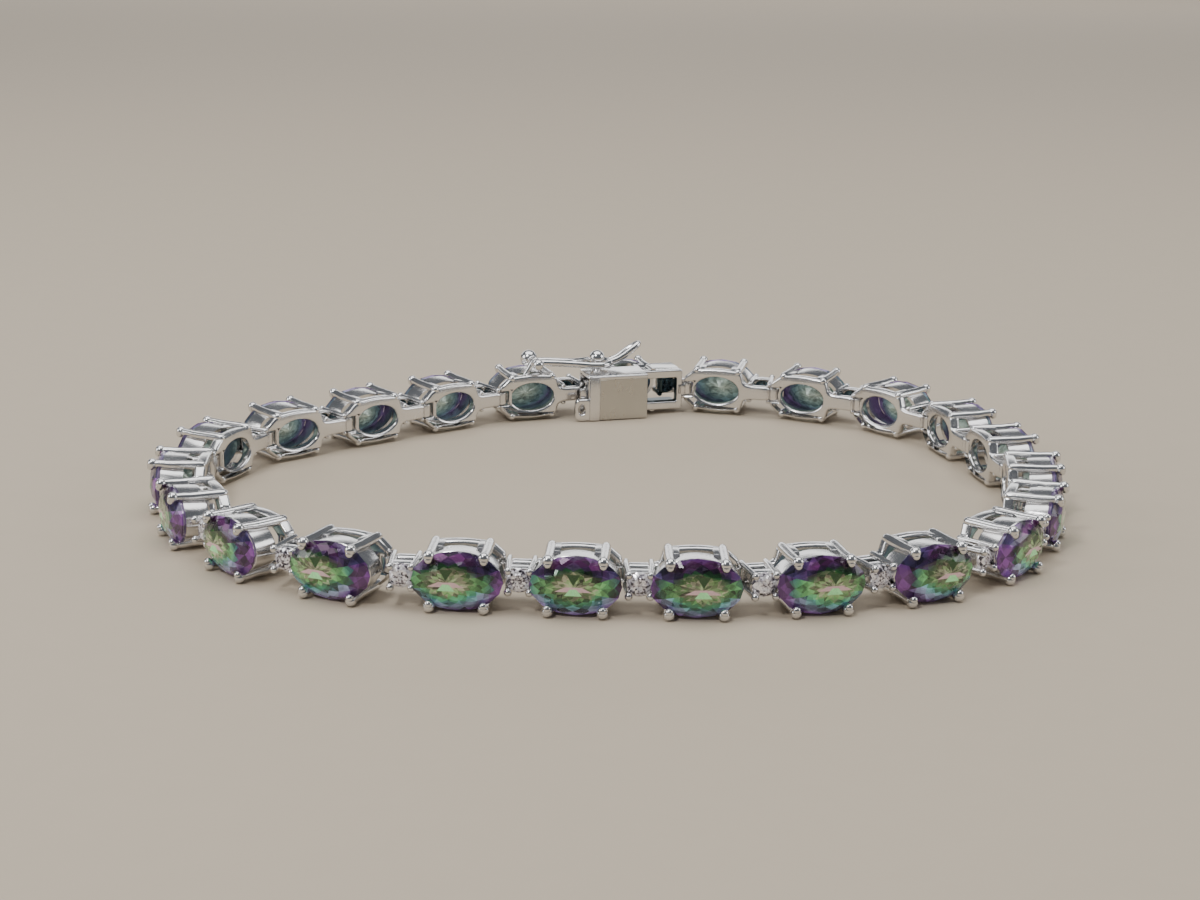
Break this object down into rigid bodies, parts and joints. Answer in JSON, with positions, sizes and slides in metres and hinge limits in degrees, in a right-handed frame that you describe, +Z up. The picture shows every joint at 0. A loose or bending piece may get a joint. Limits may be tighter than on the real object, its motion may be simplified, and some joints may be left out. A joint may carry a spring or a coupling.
{
  "type": "tennis bracelet",
  "caption": "Bracelet of hinged claw settings with oval iridescent stones and small clear stones between them, a box clasp and a wire safety catch, lying on its side edge.",
  "frame": {"origin": "under the middle of the loop, on the surface that the bracelet lies on", "axes": "+Z up from the surface, across the bracelet's width; the clasp is towards +Y; +X is the longer way of the loop"},
  "size_m": [0.0678, 0.0578, 0.0062],
  "materials": {
    "silver": "polished bright silver with fine handling scratches",
    "rainbow_stone": "faceted, coated, green and rose in the middle to violet and blue at the rim",
    "clear_stone": "small faceted round stone, colourless"
  },
  "bodies": {
    "bracelet": {"link_01": "silver", "stone_01": "rainbow_stone", "link_02": "silver", "stone_02": "rainbow_stone", "link_03": "silver", "stone_03": "rainbow_stone", "link_04": "silver", "stone_04": "rainbow_stone", "link_05": "silver", "stone_05": "rainbow_stone", "link_06": "silver", "stone_06": "rainbow_stone", "link_07": "silver", "stone_07": "rainbow_stone", "link_08": "silver", "stone_08": "rainbow_stone", "link_09": "silver", "stone_09": "rainbow_stone", "link_10": "silver", "stone_10": "rainbow_stone", "link_11": "silver", "stone_11": "rainbow_stone", "link_12": "silver", "stone_12": "rainbow_stone", "link_13": "silver", "stone_13": "rainbow_stone", "link_14": "silver", "stone_14": "rainbow_stone", "link_15": "silver", "stone_15": "rainbow_stone", "link_16": "silver", "stone_16": "rainbow_stone", "link_17": "silver", "stone_17": "rainbow_stone", "link_18": "silver", "stone_18": "rainbow_stone", "link_19": "silver", "stone_19": "rainbow_stone", "link_20": "silver", "stone_20": "rainbow_stone", "link_21": "silver", "stone_21": "rainbow_stone", "link_22": "silver", "stone_22": "rainbow_stone", "clasp_box": "silver", "clasp_tongue": "silver", "clasp_stone": "rainbow_stone"},
    "safety_catch": {"safety_catch": "silver"}
  },
  "joints": [
    {"name": "safety_catch_hinge", "type": "hinge", "parent": "bracelet", "child": "safety_catch", "pos_m": [-0.00671, 0.02195, 0.00486], "axis": [0.3564, -0.9343, 0], "range_deg": [0, 110]}
  ]
}
